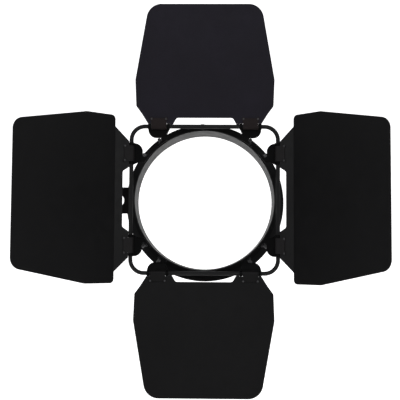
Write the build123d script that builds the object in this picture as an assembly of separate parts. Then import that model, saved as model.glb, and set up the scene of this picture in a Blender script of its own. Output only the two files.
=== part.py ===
"""Four-leaf barn door set for a round studio light.

A round collar with a flat rear flange carries a square frame of bent
round rod.  Each side of the rod frame is the hinge axis of one leaf.

Frame: millimetres, +Z up, +X right as seen from in front, -Y towards the
subject, +Y towards the light.  The origin is the centre of the flange's
back face, on the light's axis.
"""

from build123d import *

import os
from math import cos, radians, sin

# ---- collar and flange ----
FLANGE_R = 110.9
FLANGE_T = 2.0
BORE_R = 94.0
COLLAR_T = 1.5
COLLAR_FRONT_Y = -54.0
COLLAR_LIP_R = 103.0
COLLAR_R = BORE_R + COLLAR_T

# ---- rod frame, a square of bent round rod ----
ROD_R = 2.75
ROD_PLANE_Y = -66.0
ROD_HALF = 98.0
ROD_CORNER_R = 18.0
BUTT_X = -3.0
BUTT_GAP = 1.0
WELD_R = 3.3
WELD_LEN = 5.0

# ---- safety tab on the flange ----
TAB_HALF_H = 18.6
TAB_Z = 2.4
TAB_T = 1.5
TAB_INNER_X = -104.0
TAB_OUTER_X = -138.0
TAB_CORNER_R = 6.0
TAB_HOLE_X = -123.5
TAB_HOLE_R = 9.3

# ---- hinges: leaf clips turn on the rod, between bracket knuckles ----
HINGE_X = 61.4
SHEET_T = 1.2
CLIP_BORE_R = ROD_R + 0.05
CLIP_R = CLIP_BORE_R + SHEET_T
CLIP_HALF_W = 10.2
CLIP_END_Z = 11.2
CLIP_EAR_R = 2.2
RIVET_X = 9.6
RIVET_Z = 10.25
RIVET_R = 1.0
RIVET_HEAD_R = 1.4
RIVET_HEAD_H = 0.7
RIVET_TAIL_H = 0.5

# ---- brackets between collar and rod ----
KNUCKLE_IN_X = 10.6
KNUCKLE_OUT_X = 14.5
KNUCKLE_R = 4.25
KNUCKLE_BORE_R = ROD_R + 0.02
BRACKET_T = 1.5
PLATE_FRONT_Y = 7.3
WEB_DEPTH = 12.0
WINDOW_DEPTH = 5.2
SADDLE_GAP = 0.35
SADDLE_TOP_Z = 1.0
FOOT_ANGLE = 36.5
FOOT_HALF_ANGLE = 4.6
FOOT_END_Y = 25.0
FOOT_R = COLLAR_R + 0.05

# ---- studs, flush in the collar, and nuts that hold the feet ----
STUD_ANGLE = 37.0
STUD_Y = 18.5
STUD_R = 2.0
STUD_TIP_R = 105.5
STUD_TIP_ROUND = 1.0
NUT_FLATS = 7.0
NUT_H = 3.2
NUT_CROWN_R = 6.5
NUT_CROWN_DROP = 5.6

# ---- leaves ----
BEND_ANGLE = 18.0
BEND_Z = 23.8
BEND_HALF_W = 96.2
SHEET_FRONT_Y = -CLIP_BORE_R
SHEET_BACK_Y = SHEET_FRONT_Y + SHEET_T
CLIP_FRONT_Y = SHEET_FRONT_Y - SHEET_T

# Each side: its turn about +Y from the top, and how far its leaf leans
# forward from the face plane at rest.
SIDES = {
    "top": (0, 7.5),
    "right": (90, 29.4),
    "bottom": (180, 4.5),
    "left": (270, 25.4),
}

# Right half of the small leaf's outline, and its rounded corners.
SMALL_LEAF = [
    (37.5, 11.5),
    (42.6, 2.65),
    (46.65, 2.65),
    (46.65, 4.2),
    (76.2, 4.2),
    (84.3, 17.2),
    (91.7, 27.2),
    (92.8, 62.3),
    (74.5, 162.0),
]
SMALL_ROUNDS = [
    (37.5, 11.5, 4.0),
    (84.3, 17.2, 4.0),
    (91.7, 27.2, 4.0),
    (92.8, 62.3, 12.0),
    (74.5, 162.0, 20.0),
]

# Right half of the side leaf's hinge strip, up to the bend.
STRIP = [
    (37.0, 13.0),
    (43.8, 2.65),
    (46.65, 2.65),
    (46.65, 4.2),
    (77.5, 4.2),
    (BEND_HALF_W, BEND_Z),
]
STRIP_ROUNDS = [(37.0, 13.0, 4.0)]

# Right half of the side leaf's main panel, measured from the bend.
PANEL = [(111.3, 0.0), (111.0, 45.7), (89.7, 151.5)]
PANEL_ROUNDS = [(111.3, 0.0, 6.0), (111.0, 45.7, 12.0), (89.7, 151.5, 15.0)]

# Bracket plate seen from in front, X from the hinge's middle towards the
# frame's corner, Z outwards from the rod's axis.
BRACKET_OUTLINE = [
    (KNUCKLE_OUT_X, 0.0),
    (KNUCKLE_OUT_X, -14.4),
    (-3.4, -14.4),
    (-5.4, -28.0),
    (-10.4, -18.6),
    (-10.4, -10.2),
    (-KNUCKLE_OUT_X, -2.0),
    (-KNUCKLE_OUT_X, 0.0),
]
BRACKET_ROUNDS = [(KNUCKLE_OUT_X, -14.4, 10.5)]


# A side's own frame: X along the rod, Y to the rear, Z outwards, with its
# origin in the middle of that rod's axis.
def on_side(shape, turn):
    """Carry a shape from a side's own frame to the row's frame."""
    return Rot(0, turn, 0) * Pos(0, ROD_PLANE_Y, ROD_HALF) * shape


def tube(outer, inner, y0, y1, x=0, z=0):
    """A ring or tube along Y from y0 to y1."""
    place = Pos(x, (y0 + y1) / 2, z) * Rot(90, 0, 0)
    return place * (Cylinder(outer, y1 - y0) - Cylinder(inner, y1 - y0 + 2))


def sleeve(outer, inner, x0, x1):
    """A ring along X, around the rod's axis, from x0 to x1."""
    place = Pos((x0 + x1) / 2, 0, 0) * Rot(0, 90, 0)
    return place * (Cylinder(outer, x1 - x0) - Cylinder(inner, x1 - x0 + 2))


def sheet(outline, y0, y1, rounds=()):
    """A flat sheet from an outline in X and Z, with listed corners rounded."""
    points = [Vector(x, z) for x, z in outline]
    face = Face(Wire.make_polygon(points, close=True))
    for x, z, radius in rounds:
        corner = face.vertices().sort_by_distance((x, z, 0))[0]
        face = face.fillet_2d(radius, [corner])
    back = Plane(origin=(0, y1, 0), x_dir=(1, 0, 0), z_dir=(0, -1, 0))
    return extrude(back * face, y1 - y0, dir=(0, -1, 0))


def mirrored(half):
    """A closed outline from its right half."""
    return half + [(-x, z) for x, z in reversed(half)]


def both(rounds):
    """Corner rounds for both halves of a mirrored outline."""
    return rounds + [(-x, z, r) for x, z, r in rounds]


def dome(radius, height):
    """A low dome, cut from a ball, that stands on the XY plane."""
    ball_r = (radius**2 + height**2) / (2 * height)
    ball = Pos(0, 0, height - ball_r) * Sphere(ball_r)
    return ball & Pos(0, 0, height / 2) * Cylinder(radius + 1, height)


def save(name, shape):
    """Write one node."""
    solids = shape.solids()
    node = solids[0] if len(solids) == 1 else Compound(children=list(solids))
    node.label = name
    export_step(node, "parts/" + name + ".step")


# ---- collar, flange and tab ----
def stud_plane(hand):
    """Plane on the light's axis whose Z points out along a foot's stud."""
    angle = radians(STUD_ANGLE)
    out = Vector(hand * sin(angle), 0, cos(angle))
    centre = Vector(0, STUD_Y, -ROD_HALF)
    return Plane(origin=centre, x_dir=(0, 1, 0), z_dir=out)


def stud_hole(hand):
    """The hole for one bracket's stud, as a solid to take away."""
    return stud_plane(hand) * Pos(0, 0, COLLAR_R) * Cylinder(STUD_R + 0.05, 12)


def collar():
    """Rolled tube with its rear edge turned outwards into a lip."""
    lip_front = -FLANGE_T - COLLAR_T
    body = tube(COLLAR_R, BORE_R, COLLAR_FRONT_Y, lip_front)
    body += tube(COLLAR_LIP_R, BORE_R, lip_front, -FLANGE_T)
    for turn, _ in SIDES.values():
        for hand in (1, -1):
            body -= on_side(stud_hole(hand), turn)
    return body


def flange():
    """Flat ring behind the collar; its rim turns in the light's clips."""
    return tube(FLANGE_R, BORE_R, -FLANGE_T, 0)


def safety_tab():
    """Tab welded to the flange's front face, with a hole for a cable."""
    low = TAB_Z - TAB_HALF_H
    high = TAB_Z + TAB_HALF_H
    outline = [
        (TAB_INNER_X, low),
        (TAB_INNER_X, high),
        (TAB_OUTER_X, high),
        (TAB_OUTER_X, low),
    ]
    rounds = [
        (TAB_OUTER_X, high, TAB_CORNER_R),
        (TAB_OUTER_X, low, TAB_CORNER_R),
    ]
    front = -FLANGE_T - TAB_T
    plate = sheet(outline, front, -FLANGE_T, rounds)
    hole = tube(TAB_HOLE_R, 0.0, front - 1, 1 - FLANGE_T, TAB_HOLE_X, TAB_Z)
    return plate - hole


# ---- rod frame ----
def rod_frame():
    """Round rod bent to a square, its two ends meeting in the top side."""
    reach = ROD_HALF
    corners = [
        (BUTT_X + BUTT_GAP / 2, ROD_PLANE_Y, reach),
        (reach, ROD_PLANE_Y, reach),
        (reach, ROD_PLANE_Y, -reach),
        (-reach, ROD_PLANE_Y, -reach),
        (-reach, ROD_PLANE_Y, reach),
        (BUTT_X - BUTT_GAP / 2, ROD_PLANE_Y, reach),
    ]
    path = FilletPolyline(*corners, radius=ROD_CORNER_R)
    start = Plane(origin=path @ 0, z_dir=path % 0)
    return sweep(start * Circle(ROD_R), path=path)


def rod_weld(rod):
    """Weld bead that fills and covers the rod's butt joint."""
    bead = Rot(0, 90, 0) * Cylinder(WELD_R, WELD_LEN)
    bead = fillet(bead.edges().filter_by(GeomType.CIRCLE), 0.4)
    return Pos(BUTT_X, ROD_PLANE_Y, ROD_HALF) * bead - rod


# ---- brackets ----
def web_plane(x):
    """Plane across the rod for a bracket's profile, given in Z and -Y."""
    return Plane(origin=(x, 0, 0), x_dir=(0, 0, 1), z_dir=(1, 0, 0))


def bracket(hand):
    """Stamped bracket: two knuckles round the rod, sloped web, curved foot."""
    plate_back = PLATE_FRONT_Y + BRACKET_T
    profile = [
        (0, 2.4),
        (0, KNUCKLE_R),
        (-WEB_DEPTH, plate_back),
        (-40, plate_back),
        (-40, PLATE_FRONT_Y),
        (-WEB_DEPTH, PLATE_FRONT_Y),
    ]
    points = [Vector(z, -y) for z, y in profile]
    face = Face(Wire.make_polygon(points, close=True))
    web = extrude(web_plane(-20) * face, 40, dir=(1, 0, 0))
    web &= sheet(BRACKET_OUTLINE, -20, 40, BRACKET_ROUNDS)
    window = Box(2 * KNUCKLE_IN_X, 30, 2 * WINDOW_DEPTH)
    body = web - window + saddle()
    for x0, x1 in (
        (KNUCKLE_IN_X, KNUCKLE_OUT_X),
        (-KNUCKLE_OUT_X, -KNUCKLE_IN_X),
    ):
        body += sleeve(KNUCKLE_R, ROD_R / 2, x0, x1)
    body -= Rot(0, 90, 0) * Cylinder(KNUCKLE_BORE_R, 60)
    if hand < 0:
        body = mirror(body, Plane.YZ)
    body = Pos(hand * HINGE_X, 0, 0) * body
    core = Pos(0, 0, -ROD_HALF) * Rot(90, 0, 0) * Cylinder(FOOT_R, 120)
    return body - core + foot(hand) - stud_hole(hand)


def saddle():
    """Middle of the web, set back behind the clip that turns in front of it."""
    front = CLIP_R + SADDLE_GAP
    plate_back = PLATE_FRONT_Y + BRACKET_T
    profile = [
        (SADDLE_TOP_Z, front),
        (SADDLE_TOP_Z, front + BRACKET_T),
        (-3.8, front + 1.7),
        (-WEB_DEPTH, plate_back),
        (-WEB_DEPTH, PLATE_FRONT_Y),
        (-3.5, front),
    ]
    points = [Vector(z, -y) for z, y in profile]
    face = Face(Wire.make_polygon(points, close=True))
    return extrude(web_plane(-KNUCKLE_IN_X) * face, 2 * KNUCKLE_IN_X, dir=(1, 0, 0))


def foot(hand):
    """The bracket's foot, curved to lie against the collar."""
    wrap = tube(FOOT_R + BRACKET_T, FOOT_R, PLATE_FRONT_Y, FOOT_END_Y)
    edges = [
        radians(FOOT_ANGLE - FOOT_HALF_ANGLE),
        radians(FOOT_ANGLE + FOOT_HALF_ANGLE),
    ]
    wedge = [(0, 0)] + [(130 * sin(a), 130 * cos(a)) for a in edges]
    part = wrap & sheet(wedge, 0, 60)
    if hand < 0:
        part = mirror(part, Plane.YZ)
    return Pos(0, 0, -ROD_HALF) * part


def bracket_stud(hand):
    """Flush-headed stud through the collar and a bracket's foot."""
    root = BORE_R + 0.2
    shank = Cylinder(STUD_R, STUD_TIP_R - root)
    tip = shank.edges().filter_by(GeomType.CIRCLE).sort_by(Axis.Z)[-1]
    shank = fillet(tip, STUD_TIP_ROUND)
    return stud_plane(hand) * Pos(0, 0, (root + STUD_TIP_R) / 2) * shank


def bracket_nut(hand):
    """Hexagon nut on a stud, with its outer corners rounded off."""
    hexagon = RegularPolygon(NUT_FLATS / 2, 6, major_radius=False)
    nut = extrude(hexagon, NUT_H, dir=(0, 0, 1))
    nut &= Pos(0, 0, NUT_H - NUT_CROWN_DROP) * Sphere(NUT_CROWN_R)
    nut -= Cylinder(STUD_R + 0.02, 4 * NUT_H)
    return stud_plane(hand) * Pos(0, 0, FOOT_R + BRACKET_T) * nut


# ---- leaves ----
def rivet_places():
    """Middle of each of a leaf's four rivets, in its side's own frame."""
    return [
        (hand * HINGE_X + x, RIVET_Z) for hand in (1, -1) for x in (RIVET_X, -RIVET_X)
    ]


def drilled(body):
    """Take the rivet holes out of a leaf or a clip."""
    for x, z in rivet_places():
        hole = Pos(x, SHEET_FRONT_Y, z) * Rot(90, 0, 0)
        body -= hole * Cylinder(RIVET_R + 0.05, 4 * SHEET_T)
    return body


def small_leaf():
    """Flat leaf with two hinge tabs and a cut-out between them."""
    panel = sheet(
        mirrored(SMALL_LEAF), SHEET_FRONT_Y, SHEET_BACK_Y, both(SMALL_ROUNDS)
    )
    return drilled(panel)


def side_leaf():
    """Large leaf: a hinge strip, then a main panel bent forward from it."""
    strip = sheet(mirrored(STRIP), SHEET_FRONT_Y, SHEET_BACK_Y, both(STRIP_ROUNDS))
    panel = sheet(mirrored(PANEL), 0, SHEET_T, both(PANEL_ROUNDS))
    bend = Pos(0, SHEET_FRONT_Y, BEND_Z)
    steps = [radians(BEND_ANGLE * k / 4) for k in range(5)]
    arc = [(SHEET_T * cos(a), SHEET_T * sin(a)) for a in steps]
    plane = Plane(origin=(-BEND_HALF_W, 0, 0), x_dir=(0, 1, 0), z_dir=(1, 0, 0))
    points = [Vector(0, 0)] + [Vector(y, z) for y, z in arc]
    face = Face(Wire.make_polygon(points, close=True))
    wedge = extrude(plane * face, 2 * BEND_HALF_W, dir=(1, 0, 0))
    return drilled(strip + bend * wedge + bend * Rot(BEND_ANGLE, 0, 0) * panel)


def clip(hand):
    """Strap folded round the rod, with two eared corners on the leaf."""
    half = [(CLIP_HALF_W, CLIP_END_Z), (CLIP_HALF_W, 0.0)]
    outline = half + [(-x, z) for x, z in reversed(half)]
    body = sheet(outline, CLIP_FRONT_Y, SHEET_FRONT_Y)
    for x in (RIVET_X, -RIVET_X):
        body += tube(CLIP_EAR_R, 0.0, CLIP_FRONT_Y, SHEET_FRONT_Y, x, RIVET_Z)
    body += sleeve(CLIP_R, ROD_R / 2, -CLIP_HALF_W, CLIP_HALF_W)
    body -= Rot(0, 90, 0) * Cylinder(CLIP_BORE_R, 60)
    return drilled(Pos(hand * HINGE_X, 0, 0) * body)


def rivet(x, z):
    """Solid rivet through a clip and its leaf, domed on both faces."""
    length = SHEET_BACK_Y - CLIP_FRONT_Y
    head = Pos(0, 0, length) * dome(RIVET_HEAD_R, RIVET_HEAD_H)
    tail = Rot(180, 0, 0) * dome(RIVET_HEAD_R, RIVET_TAIL_H)
    shank = Pos(0, 0, length / 2) * Cylinder(RIVET_R, length)
    forward = Plane(origin=(x, SHEET_BACK_Y, z), x_dir=(1, 0, 0), z_dir=(0, -1, 0))
    return forward * (shank + head + tail)


def main():
    os.makedirs("parts", exist_ok=True)
    rod = rod_frame()
    save("rod_frame", rod)
    save("rod_weld", rod_weld(rod))
    save("collar", collar())
    save("flange_ring", flange())
    save("safety_tab", safety_tab())

    studs = []
    nuts = []
    panels = {"flat": small_leaf(), "bent": side_leaf()}
    for side, (turn, tilt) in SIDES.items():
        lean = Rot(tilt, 0, 0)
        panel = panels["flat" if side in ("top", "bottom") else "bent"]
        save("leaf_" + side, on_side(lean * panel, turn))
        rivets = Compound(children=[rivet(x, z) for x, z in rivet_places()])
        save("leaf_rivets_" + side, on_side(lean * rivets, turn))
        for hand, label in ((1, "a"), (-1, "b")):
            name = side + "_" + label
            save("clip_" + name, on_side(lean * clip(hand), turn))
            save("bracket_" + name, on_side(bracket(hand), turn))
            studs.append(on_side(bracket_stud(hand), turn))
            nuts.append(on_side(bracket_nut(hand), turn))
    save("bracket_studs", Compound(children=studs))
    save("bracket_nuts", Compound(children=nuts))


main()
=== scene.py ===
"""Looks for the four-leaf barn door set."""

import math

import bmesh
import bpy
from mathutils import Matrix, Vector

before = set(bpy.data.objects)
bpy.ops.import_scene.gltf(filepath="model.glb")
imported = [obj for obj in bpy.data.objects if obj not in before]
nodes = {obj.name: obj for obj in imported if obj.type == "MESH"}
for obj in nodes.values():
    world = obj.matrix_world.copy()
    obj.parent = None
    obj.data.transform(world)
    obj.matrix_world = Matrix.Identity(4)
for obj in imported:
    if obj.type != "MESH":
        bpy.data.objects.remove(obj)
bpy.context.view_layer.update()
scene = bpy.context.scene

# ---- camera ----
CAM_PLACE = (0.0139, -1.130, -0.0713)
CAM_PITCH, CAM_YAW, CAM_ROLL = -3.80, -1.06, -0.34
CAM_LENS = 72.0


def add_camera():
    """A long lens in front, a little below the light's axis, looking up."""
    data = bpy.data.cameras.new("photo_camera")
    data.sensor_width = 36.0
    data.lens = CAM_LENS
    data.clip_start, data.clip_end = 0.01, 60.0
    cam = bpy.data.objects.new("photo_camera", data)
    scene.collection.objects.link(cam)
    turn = (
        Matrix.Rotation(math.radians(CAM_ROLL), 3, "Z")
        @ Matrix.Rotation(math.radians(CAM_PITCH), 3, "X")
        @ Matrix.Rotation(math.radians(CAM_YAW), 3, "Y")
    )
    to_row = Matrix(((1, 0, 0), (0, 0, -1), (0, 1, 0)))
    cam.matrix_world = Matrix.Translation(CAM_PLACE) @ (
        to_row @ turn.transposed()
    ).to_4x4()
    scene.camera = cam


# ---- stage: its shape in metres, and how strongly each part of it glows ----
FLOOR_Z = -1.1
FLOOR_FRONT_Y = -4.0
WALL_Y = 2.6
WALL_TOP_Z = 3.5
SWEEP_R = 0.8
SWEEP_STEPS = 12
STAGE_HALF_W = 4.0
GLOW_Z = 0.17
GLOW_NEAR_R, GLOW_FAR_R = 1.5, 2.3
GLOW_FRONT_Y, GLOW_BACK_Y = 1.0, 2.2
GLOW_FLOOR = 0.15
GLOW_OUTSIDE = 0.25

# ---- lights: name, place, size in metres, watts and colour ----
LIGHT_AIM = (0, -0.05, 0)
LIGHTS = (
    ("soft_left", (-1.4, -1.65, 0.35), 0.8, 2.0, (1.0, 1.0, 1.0)),
    ("soft_right", (1.35, -1.7, 0.35), 0.8, 1.75, (1.0, 1.0, 1.0)),
    ("soft_front", (0.0, -2.2, 1.0), 0.9, 7.2, (0.96, 0.97, 1.0)),
)

# ---- fill from all round: its strength below and above, and where it changes ----
FILL_BELOW, FILL_ABOVE = 0.10, 0.20
FILL_LOW_Z, FILL_HIGH_Z = -0.5, 0.6

# ---- size of the surfaces' grain, in cycles per metre ----
PATCH_SCALE = 0.6
CLOUD_SCALE = 14.0
HAZE_SCALE = 90.0
CHIP_AND_SHEEN_SCALE = 260.0
GRIME_SCALE = 420.0
SCRATCH_SCALE = 1500.0

# ---- widths and depths on the surfaces, in metres ----
EDGE_R = 0.0006
SCRATCH_DEPTH = 0.00003

# ---- strength of the surfaces' variation, as parts of the base value ----
CLOUD_SHADE = 0.18
FLECK_DARK, FLECK_LIGHT = 0.8, 1.45
# how light the patchy edges get: partly rubbed-through paint, partly a painted edge highlight
EDGE_WEAR_SHEEN_DARK, EDGE_WEAR_SHEEN_LIGHT = 3.0, 6.0
METAL_DARK, METAL_LIGHT = 0.7, 1.3
GRIME_DARK, GRIME_LIGHT = 0.25, 0.6

# ---- variation of the roughness, and strength of the relief ----
HAZE_ROUGH, SPECK_ROUGH, SCRATCH_ROUGH = 0.06, 0.03, 0.1
PAINT_BUMP, STEEL_BUMP = 0.5, 0.4

# ---- sockets of the Mix node when it mixes colours ----
MIX_A, MIX_B, MIX_RESULT = 6, 7, 2


def new_material(name):
    """An empty node material: returns it, its tree and its shader."""
    mat = bpy.data.materials.new(name)
    mat.use_nodes = True
    tree = mat.node_tree
    tree.nodes.clear()
    out = tree.nodes.new("ShaderNodeOutputMaterial")
    bsdf = tree.nodes.new("ShaderNodeBsdfPrincipled")
    tree.links.new(bsdf.outputs["BSDF"], out.inputs["Surface"])
    return mat, tree, bsdf


def noise(tree, scale, detail=2.0, stretch=None, seed=0.0):
    """Noise in the row frame, in cycles per metre; stretch is per axis."""
    coord = tree.nodes.new("ShaderNodeTexCoord")
    mapping = tree.nodes.new("ShaderNodeMapping")
    mapping.inputs["Location"].default_value = (seed, seed * 0.7, seed * 1.3)
    if stretch:
        mapping.inputs["Scale"].default_value = stretch
    tree.links.new(coord.outputs["Object"], mapping.inputs["Vector"])
    tex = tree.nodes.new("ShaderNodeTexNoise")
    tex.inputs["Scale"].default_value = scale
    tex.inputs["Detail"].default_value = detail
    tree.links.new(mapping.outputs["Vector"], tex.inputs["Vector"])
    return tex.outputs["Fac"]


def ramp(tree, fac, stops):
    """A colour ramp through (position, colour) stops."""
    node = tree.nodes.new("ShaderNodeValToRGB")
    node.color_ramp.elements[0].position = stops[0][0]
    node.color_ramp.elements[0].color = (*stops[0][1], 1.0)
    node.color_ramp.elements[1].position = stops[-1][0]
    node.color_ramp.elements[1].color = (*stops[-1][1], 1.0)
    for place, colour in stops[1:-1]:
        node.color_ramp.elements.new(place).color = (*colour, 1.0)
    tree.links.new(fac, node.inputs["Fac"])
    return node.outputs["Color"]


def spread(tree, fac, low, high, lo_in=0.3, hi_in=0.7):
    """Map a value from lo_in..hi_in to low..high, clamped at both ends."""
    node = tree.nodes.new("ShaderNodeMapRange")
    node.inputs["From Min"].default_value = lo_in
    node.inputs["From Max"].default_value = hi_in
    node.inputs["To Min"].default_value = low
    node.inputs["To Max"].default_value = high
    tree.links.new(fac, node.inputs["Value"])
    return node.outputs["Result"]


def math_node(tree, kind, a, b):
    """One Math node; a and b are sockets or numbers."""
    node = tree.nodes.new("ShaderNodeMath")
    node.operation = kind
    for socket, value in zip(node.inputs, (a, b)):
        if isinstance(value, (int, float)):
            socket.default_value = value
        else:
            tree.links.new(value, socket)
    return node.outputs[0]


def blend_colour(tree, fac, a, b):
    """Mix colour sockets a and b by fac."""
    node = tree.nodes.new("ShaderNodeMix")
    node.data_type = "RGBA"
    tree.links.new(fac, node.inputs["Factor"])
    tree.links.new(a, node.inputs[MIX_A])
    tree.links.new(b, node.inputs[MIX_B])
    return node.outputs[MIX_RESULT]


def scaled(colour, k):
    """A colour times a number."""
    return tuple(min(1.0, c * k) for c in colour)


def edge_mask(tree, radius, width=0.35):
    """1 along sharp edges, 0 on flat faces."""
    bevel = tree.nodes.new("ShaderNodeBevel")
    bevel.samples = 6
    bevel.inputs["Radius"].default_value = radius
    geo = tree.nodes.new("ShaderNodeNewGeometry")
    dot = tree.nodes.new("ShaderNodeVectorMath")
    dot.operation = "DOT_PRODUCT"
    tree.links.new(bevel.outputs["Normal"], dot.inputs[0])
    tree.links.new(geo.outputs["Normal"], dot.inputs[1])
    return spread(tree, dot.outputs["Value"], 1.0, 0.0, 1.0 - width, 1.0)


def paint(name, base, rough, seed, specular, grain=1100.0, relief=0.00004, edge_wear_and_sheen=0.4, tint=None):
    """Black paint or powder coat with grain and haze; its edges are lightened in patches,
    partly as rubbed-through paint and partly as a painted edge highlight.
    """
    mat, tree, bsdf = new_material(name)
    cloud = noise(tree, CLOUD_SCALE, 3.0, seed=seed)
    speck = noise(tree, grain, 2.0, seed=seed + 3)
    haze = noise(tree, HAZE_SCALE, 4.0, seed=seed + 7)
    body = ramp(tree, cloud, [
        (0.3, scaled(base, 1 - CLOUD_SHADE)),
        (0.5, base),
        (0.72, scaled(tint or base, 1 + CLOUD_SHADE)),
    ])
    fleck = ramp(tree, speck, [
        (0.35, scaled(base, FLECK_DARK)), (0.75, scaled(base, FLECK_LIGHT)),
    ])
    amount = spread(tree, haze, 0.25, 0.6)
    colour = blend_colour(tree, amount, body, fleck)
    # edges lightened in patches: partly rubbed-through paint, partly a painted edge highlight
    # where light would catch the edges
    chips_and_sheen = spread(tree, noise(tree, CHIP_AND_SHEEN_SCALE, 4.0, seed=seed + 11), 0.0, 1.0, 0.42, 0.62)
    chipped_and_sheen = math_node(tree, "MULTIPLY", edge_mask(tree, EDGE_R), chips_and_sheen)
    worn_and_sheen = math_node(tree, "MULTIPLY", chipped_and_sheen, edge_wear_and_sheen)
    bare_and_sheen = ramp(tree, speck, [(0.3, scaled(base, EDGE_WEAR_SHEEN_DARK)), (0.7, scaled(base, EDGE_WEAR_SHEEN_LIGHT))])
    tree.links.new(blend_colour(tree, worn_and_sheen, colour, bare_and_sheen), bsdf.inputs["Base Color"])
    wide = spread(tree, haze, rough - HAZE_ROUGH, rough + HAZE_ROUGH)
    fine = spread(tree, speck, -SPECK_ROUGH, SPECK_ROUGH)
    tree.links.new(math_node(tree, "ADD", wide, fine), bsdf.inputs["Roughness"])
    bsdf.inputs["Specular IOR Level"].default_value = specular
    bump = tree.nodes.new("ShaderNodeBump")
    bump.inputs["Strength"].default_value = PAINT_BUMP
    bump.inputs["Distance"].default_value = relief
    tree.links.new(speck, bump.inputs["Height"])
    tree.links.new(bump.outputs["Normal"], bsdf.inputs["Normal"])
    return mat


def steel(name, base, rough, seed):
    """Darkened steel with fine scratches and a little grime."""
    mat, tree, bsdf = new_material(name)
    scratch = noise(tree, SCRATCH_SCALE, 3.0, (1.0, 0.15, 1.0), seed)
    grime = noise(tree, GRIME_SCALE, 4.0, seed=seed + 5)
    metal = ramp(tree, scratch, [
        (0.3, scaled(base, METAL_DARK)), (0.7, scaled(base, METAL_LIGHT)),
    ])
    dark = ramp(tree, grime, [
        (0.35, scaled(base, GRIME_DARK)), (0.65, scaled(base, GRIME_LIGHT)),
    ])
    amount = spread(tree, grime, 0.0, 0.6, 0.4, 0.7)
    tree.links.new(blend_colour(tree, amount, metal, dark), bsdf.inputs["Base Color"])
    bsdf.inputs["Metallic"].default_value = 1.0
    shine = spread(tree, scratch, rough - SCRATCH_ROUGH, rough + SCRATCH_ROUGH)
    tree.links.new(shine, bsdf.inputs["Roughness"])
    bump = tree.nodes.new("ShaderNodeBump")
    bump.inputs["Strength"].default_value = STEEL_BUMP
    bump.inputs["Distance"].default_value = SCRATCH_DEPTH
    tree.links.new(scratch, bump.inputs["Height"])
    tree.links.new(bump.outputs["Normal"], bsdf.inputs["Normal"])
    return mat


def dress(node, mat):
    """Give a CAD node its one material."""
    mesh = nodes[node].data
    mesh.materials.clear()
    mesh.materials.append(mat)


def stage_glow(tree):
    """Full glow on the backdrop behind the object, less on the floor and outside."""
    coord = tree.nodes.new("ShaderNodeTexCoord")
    split = tree.nodes.new("ShaderNodeSeparateXYZ")
    tree.links.new(coord.outputs["Object"], split.inputs["Vector"])
    x, y, z = split.outputs
    up = math_node(tree, "SUBTRACT", z, GLOW_Z)
    x_squared = math_node(tree, "MULTIPLY", x, x)
    up_squared = math_node(tree, "MULTIPLY", up, up)
    away = math_node(tree, "SQRT", math_node(tree, "ADD", x_squared, up_squared), 0.0)
    round_fall = spread(tree, away, 1.0, GLOW_OUTSIDE, GLOW_NEAR_R, GLOW_FAR_R)
    depth_fall = spread(tree, y, GLOW_FLOOR, 1.0, GLOW_FRONT_Y, GLOW_BACK_Y)
    return math_node(tree, "MULTIPLY", round_fall, depth_fall)


def add_stage():
    """Pale floor that sweeps up into a glowing backdrop."""
    mat, tree, bsdf = new_material("stage_white")
    patches = noise(tree, PATCH_SCALE, 1.0)
    tone = ramp(tree, patches, [(0.3, (0.9, 0.9, 0.9)), (0.7, (0.92, 0.92, 0.92))])
    tree.links.new(tone, bsdf.inputs["Base Color"])
    bsdf.inputs["Roughness"].default_value = 0.9
    bsdf.inputs["Emission Color"].default_value = (1.0, 1.0, 1.0, 1.0)
    tree.links.new(stage_glow(tree), bsdf.inputs["Emission Strength"])
    bend_y, bend_z = WALL_Y - SWEEP_R, FLOOR_Z + SWEEP_R
    line = [(FLOOR_FRONT_Y, FLOOR_Z), (bend_y, FLOOR_Z)]
    for k in range(1, SWEEP_STEPS + 1):
        a = math.radians(90 * k / SWEEP_STEPS)
        line.append((bend_y + SWEEP_R * math.sin(a), bend_z - SWEEP_R * math.cos(a)))
    line.append((WALL_Y, WALL_TOP_Z))
    bm = bmesh.new()
    rows = [
        [bm.verts.new((x, y, z)) for x in (-STAGE_HALF_W, STAGE_HALF_W)] for y, z in line
    ]
    for low, high in zip(rows, rows[1:]):
        bm.faces.new((low[0], low[1], high[1], high[0]))
    mesh = bpy.data.meshes.new("sweep")
    bm.to_mesh(mesh)
    bm.free()
    mesh.materials.append(mat)
    for face in mesh.polygons:
        face.use_smooth = True
    obj = bpy.data.objects.new("sweep", mesh)
    scene.collection.objects.link(obj)


def add_softbox(name, place, size, watts, colour):
    """A square area light aimed at the middle of the object."""
    data = bpy.data.lights.new(name, "AREA")
    data.size = size
    data.energy = watts
    data.color = colour
    lamp = bpy.data.objects.new(name, data)
    lamp.location = place
    aim = Vector(LIGHT_AIM) - Vector(place)
    lamp.rotation_mode = "QUATERNION"
    lamp.rotation_quaternion = aim.to_track_quat("-Z", "Y")
    scene.collection.objects.link(lamp)


def add_world(low, high):
    """Soft fill from all round, a little stronger from above."""
    world = bpy.data.worlds.new("studio")
    world.use_nodes = True
    tree = world.node_tree
    coord = tree.nodes.new("ShaderNodeTexCoord")
    split = tree.nodes.new("ShaderNodeSeparateXYZ")
    tree.links.new(coord.outputs["Generated"], split.inputs["Vector"])
    height = spread(tree, split.outputs["Z"], 0.0, 1.0, FILL_LOW_Z, FILL_HIGH_Z)
    fill = ramp(tree, height, [(0.0, (low, low, low)), (1.0, (high, high, high * 1.02))])
    tree.links.new(fill, tree.nodes["Background"].inputs["Color"])
    scene.world = world


# ---- looks ----
# the powder coat's edge lightening is partly a painted edge highlight
POWDER = {"grain": 900.0, "relief": 0.00006, "edge_wear_and_sheen": 0.35}

# One powder coat for all four leaves, with its brightness set per leaf as painted light and
# shade for how the light falls: lightest on the top leaf, darker on the bottom one, darkest on
# the side ones. The top leaf also has its own bluish tint.
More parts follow.
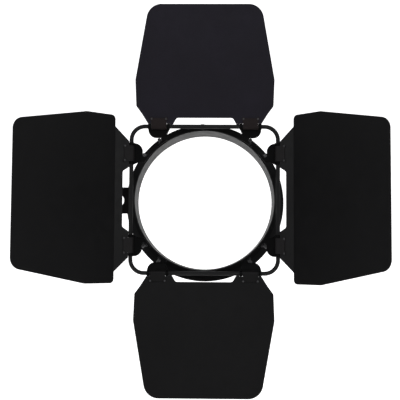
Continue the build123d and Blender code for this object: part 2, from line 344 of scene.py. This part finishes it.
leaf_top = paint("leaf_top_powder_lit", (0.0205, 0.0180, 0.0265), 0.55, seed=1.0, specular=0.2,
                 tint=(0.0205, 0.0180, 0.0285), **POWDER)
leaf_side_shaded = paint("leaf_side_powder_shaded", (0.0098, 0.0096, 0.0101), 0.41, seed=2.0, specular=0.32,
                  **POWDER)
leaf_bottom = paint("leaf_bottom_powder_shaded", (0.0118, 0.0116, 0.0120), 0.55, seed=3.0,
                    specular=0.18, **POWDER)
rod_paint = paint("rod_enamel", (0.020, 0.020, 0.0205), 0.5, seed=5.0, specular=0.2,
                  grain=1400.0, relief=0.00003, edge_wear_and_sheen=0.5)
collar_paint = paint("collar_enamel", (0.016, 0.016, 0.0165), 0.55, seed=8.0, specular=0.2)
flange_paint = paint("flange_enamel", (0.024, 0.024, 0.0245), 0.55, seed=9.0, specular=0.2)
# The brackets get a black several times darker than the other paints: painted shade for the
# brackets, which sit in shade behind the rods and clips.
bracket_shaded_paint = paint("bracket_enamel_shaded", (0.0032, 0.0032, 0.0034), 0.5, seed=12.0, specular=0.1)
clip_brown = paint("clip_enamel_warm", (0.026, 0.0185, 0.0185), 0.5, seed=15.0, specular=0.2,
                   edge_wear_and_sheen=0.5)
clip_grey = paint("clip_enamel", (0.0225, 0.0210, 0.0215), 0.5, seed=16.0, specular=0.2,
                  edge_wear_and_sheen=0.5)
# The lower clips get the clip enamel at well under half its brightness: painted shade for the
# lower clips, which get less light from above.
clip_shaded = paint("clip_enamel_shaded", (0.0092, 0.0085, 0.0088), 0.5, seed=17.0, specular=0.2,
                 edge_wear_and_sheen=0.5)
tab_paint = paint("tab_enamel", (0.0080, 0.0066, 0.0068), 0.5, seed=19.0, specular=0.2,
                  grain=1000.0)
rivet_steel = steel("rivet_steel", (0.15, 0.15, 0.155), 0.42, seed=2.0)
nut_steel = steel("nut_steel", (0.055, 0.055, 0.057), 0.42, seed=6.0)
# The studs get steel about three times as bright as the nuts: a painted glint on the stud tips.
stud_glint_steel = steel("stud_glint_steel", (0.17, 0.17, 0.173), 0.38, seed=9.0)

LOOKS = {
    "leaf_top": leaf_top,
    "leaf_rivets": rivet_steel,
    "leaf_bottom": leaf_bottom,
    "leaf": leaf_side_shaded,
    "rod": rod_paint,
    "collar": collar_paint,
    "flange": flange_paint,
    "bracket_nuts": nut_steel,
    "bracket_studs": stud_glint_steel,
    "bracket": bracket_shaded_paint,
    "clip_top": clip_brown,
    "clip_bottom": clip_shaded,
    "clip": clip_grey,
    "safety": tab_paint,
}
for node in nodes:
    key = max((k for k in LOOKS if node.startswith(k)), key=len)
    dress(node, LOOKS[key])

add_stage()
for light in LIGHTS:
    add_softbox(*light)
add_world(FILL_BELOW, FILL_ABOVE)
add_camera()
scene.view_settings.view_transform = "Standard"
